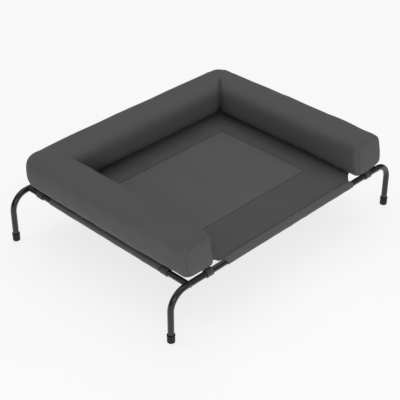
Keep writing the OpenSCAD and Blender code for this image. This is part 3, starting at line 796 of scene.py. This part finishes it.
def rest_height(x, y):
    """Lowest height for the bolster's underside: the sling inside the rails, and over each rail the round
    of its sleeve, which grows to the collar's near the joints."""
    def over(d, along, joints):
        near = sum(np.exp(-((along - j) / COLLAR_HALF) ** 4) for j in joints)
        r = SLEEVE_R + SLEEVE_PLAY + (COLLAR_R - SLEEVE_R) * np.clip(near, 0, 1)
        return RAIL_H + np.sqrt(np.clip(r ** 2 - d ** 2, 0, None))

    side = over(np.abs(x) - HALF_W, y, SIDE_JOINTS)
    cross = over(np.abs(y) - HALF_D, x, CROSS_JOINTS)
    inside = np.where((np.abs(x) < HALF_W) & (np.abs(y) < HALF_D), SLING_TOP + SLING_PLAY, RAIL_H)
    return np.maximum(np.maximum(side, cross), inside)


def pinch(points, corner, depth):
    """Draws points near a corner of the end seam towards the arm's middle, by a bell curve."""
    near = np.exp(-((points - corner) ** 2).sum(-1, keepdims=True) / PINCH_REACH ** 2)
    inward = np.array([np.sign(corner[0]) * ARM_X, PANEL_Y + PINCH_IN, PAD_Z + PAD_B]) - corner
    return points + depth * near * inward / np.linalg.norm(inward)


def bolster_form():
    """The bolster as one sewn skin: rings along the U, and the inner points of two end panels that bulge
    a little. The mitres are drawn in, and the corners of the end seams are pinched."""
    left = arm_rings(-1, LEFT_END_FORM, LEFT_ROUND, LEFT_TURN, LEFT_MARKS, [], 21)
    right = arm_rings(1, RIGHT_END_FORM, RIGHT_ROUND, RIGHT_TURN, RIGHT_MARKS, RIGHT_SWELLS, 22)
    rings = np.concatenate([left, corner_rings(-1), back_rings(), corner_rings(1)[::-1], right[::-1]])
    rings = rings - mitre_depth(rings)[..., None] * ring_normals(rings)
    ends = (rings[0], rings[-1])
    skin = np.concatenate([rings.reshape(-1, 3), *(end_inside(ring, -PANEL_CROWN) for ring in ends)])
    for ring in ends:
        for k, depth in PINCHES:
            skin = pinch(skin, ring[k], depth)
    return skin, len(rings)


def stuff(points, faces, sewn):
    """The skin after the stuffing's pressure has pushed it out, with its seams and its base held."""
    mesh = bpy.data.meshes.new("stuffing run")
    mesh.from_pydata(points.tolist(), [], faces.tolist())
    skin = bpy.data.objects.new("stuffing run", mesh)
    scene = bpy.context.scene
    scene.collection.objects.link(skin)
    skin.vertex_groups.new(name="sewn").add(np.flatnonzero(sewn).tolist(), 1.0, "REPLACE")
    cloth = skin.modifiers.new("stuffing", "CLOTH")
    for name, value in SKIN_SETTINGS.items():
        setattr(cloth.settings, name, value)
    cloth.settings.effector_weights.gravity = 0
    cloth.point_cache.frame_start, cloth.point_cache.frame_end = 1, RUN_FRAMES
    for f in range(1, RUN_FRAMES + 1):
        scene.frame_set(f)
    done = skin.evaluated_get(bpy.context.evaluated_depsgraph_get()).to_mesh()
    out = np.empty(len(points) * 3, np.float32)
    done.vertices.foreach_get("co", out)
    bpy.data.objects.remove(skin)
    scene.frame_set(1)
    return out.reshape(-1, 3).astype(float)


def ring_mean(rings, span):
    """Running mean along the rings, weighted by a raised cosine over some rings on each side."""
    weights = np.hanning(2 * span + 3)[1:-1]
    wide = np.pad(rings, ((span, span), (0, 0), (0, 0)), mode="edge")
    return sum(w * wide[k:k + len(rings)] for k, w in enumerate(weights)) / weights.sum()


def puckers(skin, count):
    """What the stuffing does to the skin beyond its drawn form: a share of the movement, less its running
    mean, smoothed a little, fading out at the end seams, with the most that a point may move."""
    sewn = (skin[:, 2] < PAD_Z + BASE_HELD) | (mitre_depth(skin) > SEAM_HELD)
    sewn[:AROUND] = sewn[(count - 1) * AROUND:count * AROUND] = True
    moved = PUCKER_SHARE * (stuff(skin, skin_faces(count), sewn) - skin)
    rings = moved[:count * AROUND].reshape(count, AROUND, 3)
    k = np.arange(count)[:, None, None]
    rings = ring_mean(rings, SMOOTH_SPAN) - ring_mean(rings, MEAN_SPAN)
    moved[:count * AROUND] = (rings * fade(np.minimum(k, count - 1 - k), 0, FADE_SPAN)).reshape(-1, 3)
    reach = np.linalg.norm(moved, axis=1, keepdims=True)
    return moved * np.minimum(1, PUCKER_CAP / np.maximum(reach, 1e-9))


def smooth_piece(piece, seam_points):
    """One subdivision that keeps the edges between neighbouring seam points sharp."""
    mesh = piece.data
    edges = np.empty(len(mesh.edges) * 2, np.int32)
    mesh.edges.foreach_get("vertices", edges)
    on_seam = np.isin(edges.reshape(-1, 2), seam_points).all(1).astype(np.float32)
    mesh.attributes.new("crease_edge", "FLOAT", "EDGE").data.foreach_set("value", on_seam)
    fine = piece.modifiers.new("fine cloth", "SUBSURF")
    fine.levels = fine.render_levels = 1


def cover(rings):
    """The cover: the rings, closed inside each end by a shallow dish that the end panel hides."""
    count = len(rings)
    dishes = [end_inside(ring, DISH) for ring in (rings[0], rings[-1])]
    points = np.concatenate([rings.reshape(-1, 3), *dishes])
    along = run_along(rings.mean(1))[:, None]
    around = np.linspace(0, ROUND_CLOTH, AROUND + 1)[None]
    uv = np.concatenate([grid_uv(along, around), end_uv(), end_uv()])
    piece = make_piece("bolster_cover_cloth", points, skin_faces(count), uv, PAD_CLOTH, "bolster")
    smooth_piece(piece, np.concatenate([np.arange(AROUND), (count - 1) * AROUND + np.arange(AROUND)]))
    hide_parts("bolster_cover", "left_core", "back_core", "right_core")


def end_panel(name, ring, inside, flip):
    """An end panel: a thin closed shell whose outer face carries the bulge, sewn to the cover's ring."""
    back = inside + np.array([0, PANEL_T, 0])
    points = np.concatenate([ring, inside, back])
    faces = np.concatenate([closing_faces(0, AROUND, flip), closing_faces(0, AROUND + INSIDE, not flip)])
    uv = np.concatenate([end_uv(flip), end_uv(not flip)])
    piece = make_piece(name + "_end_cloth", points, faces, uv, PAD_CLOTH, "bolster")
    smooth_piece(piece, np.arange(AROUND))
    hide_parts(name + "_end_panel")


def bolster():
    """The stuffed bolster: its drawn form, its puckers, and its underside laid on sling and sleeves."""
    skin, count = bolster_form()
    skin = skin + puckers(skin, count)
    skin[:, 2] = soft_max(skin[:, 2], rest_height(skin[:, 0], skin[:, 1]), REST_ROUND)
    rings = skin[:count * AROUND].reshape(count, AROUND, 3)
    left_inside, right_inside = skin[count * AROUND:].reshape(2, INSIDE, 3)
    cover(rings)
    end_panel("left", rings[0], left_inside, True)
    end_panel("right", rings[-1], right_inside, False)


bolster()


# Floor, light and camera

# The floor's half width, how far it lies below the feet, its grey and its glow
FLOOR_HALF, FLOOR_DROP, FLOOR_GREY, FLOOR_GLOW = 60.0, 0.2 * MM, 0.28, 0.76
# The sky's strength overhead, and the power by which it falls off towards the horizon
SKY_TOP, SKY_POWER = 1.5, 8.0
# Soft boxes: place, width and height in metres, power in watts; all point at one place
AIM = Vector((0, 0, 0.2))
SOFTBOXES = {
    "rear key": ((1.82, 1.82, 3.26), (3.0, 3.0), 36),
    "rear left fill": ((-2.17, 2.17, 2.77), (3.0, 3.0), 20),
    "front fill": ((0, -3.06, 2.77), (3.0, 3.0), 15),
    "front right fill": ((2.17, -2.17, 2.77), (3.0, 3.0), 13),
    "low front fill": ((-2.66, -2.66, 1.57), (3.0, 1.5), 36),
}
# Camera: focal length and picture width in pixels, sensor width in mm, place and direction of view
LENS_PX, FRAME_PX, SENSOR = 1108.369, 400, 36
CAMERA_PLACE, CAMERA_WAY = (-2.122917, -2.072879, 2.036633), (0.59472, 0.58621, -0.55015)


def turn_to(way):
    """The rotation that points a light or a camera along a direction."""
    return Vector(way).to_track_quat("-Z", "Y").to_euler()


def floor():
    """A plain pale floor that also glows, as a lit studio floor does, so that shadows on it stay soft."""
    material, _, shader = new_finish("pale floor")
    shader.inputs["Base Color"].default_value = (*grey(FLOOR_GREY), 1)
    shader.inputs["Roughness"].default_value = 0.9
    shader.inputs["Specular IOR Level"].default_value = 0.0
    shader.inputs["Emission Color"].default_value = (1, 1, 1, 1)
    shader.inputs["Emission Strength"].default_value = FLOOR_GLOW
    x, y = np.meshgrid([-FLOOR_HALF, FLOOR_HALF], [-FLOOR_HALF, FLOOR_HALF])
    corners = np.stack([x, y, np.full_like(x, -FLOOR_DROP)], -1).reshape(-1, 3)
    mesh = bpy.data.meshes.new("floor")
    mesh.from_pydata(corners.tolist(), [], grid_faces(2, 2).tolist())
    mesh.materials.append(material)
    plane = bpy.data.objects.new("floor", mesh)
    bpy.context.scene.collection.objects.link(plane)


def softbox(name, place, size, power):
    """A rectangular area light that points at the cot."""
    data = bpy.data.lights.new(name, "AREA")
    data.shape, data.energy = "RECTANGLE", power
    data.size, data.size_y = size
    light = bpy.data.objects.new(name, data)
    light.location = place
    light.visible_camera = False
    light.rotation_euler = turn_to(AIM - Vector(place))
    bpy.context.scene.collection.objects.link(light)


def sky():
    """Soft white light from all round, which grows with a power of the height from horizon to zenith."""
    world = bpy.data.worlds.new("studio")
    bpy.context.scene.world = world
    world.use_nodes = True
    tree = world.node_tree
    background = next(n for n in tree.nodes if n.type == "BACKGROUND")
    way = tree.nodes.new("ShaderNodeTexCoord").outputs["Generated"]
    height = put(tree, "ShaderNodeSeparateXYZ", Vector=way).outputs["Z"]
    glow = calc(tree, "POWER", calc(tree, "MAXIMUM", height, 0.0), SKY_POWER)
    tree.links.new(calc(tree, "MULTIPLY", glow, SKY_TOP), background.inputs["Strength"])
    background.inputs["Color"].default_value = (1, 1, 1, 1)


def photo_camera():
    """The camera at the photo's place, with its angle of view."""
    data = bpy.data.cameras.new("photo view")
    data.sensor_width, data.lens = SENSOR, LENS_PX / FRAME_PX * SENSOR
    camera = bpy.data.objects.new("photo view", data)
    camera.location = CAMERA_PLACE
    camera.rotation_euler = turn_to(CAMERA_WAY)
    bpy.context.scene.collection.objects.link(camera)
    bpy.context.scene.camera = camera


floor()
sky()
for name, (place, size, power) in SOFTBOXES.items():
    softbox(name, place, size, power)
photo_camera()
bpy.context.scene.view_settings.view_transform = "Standard"
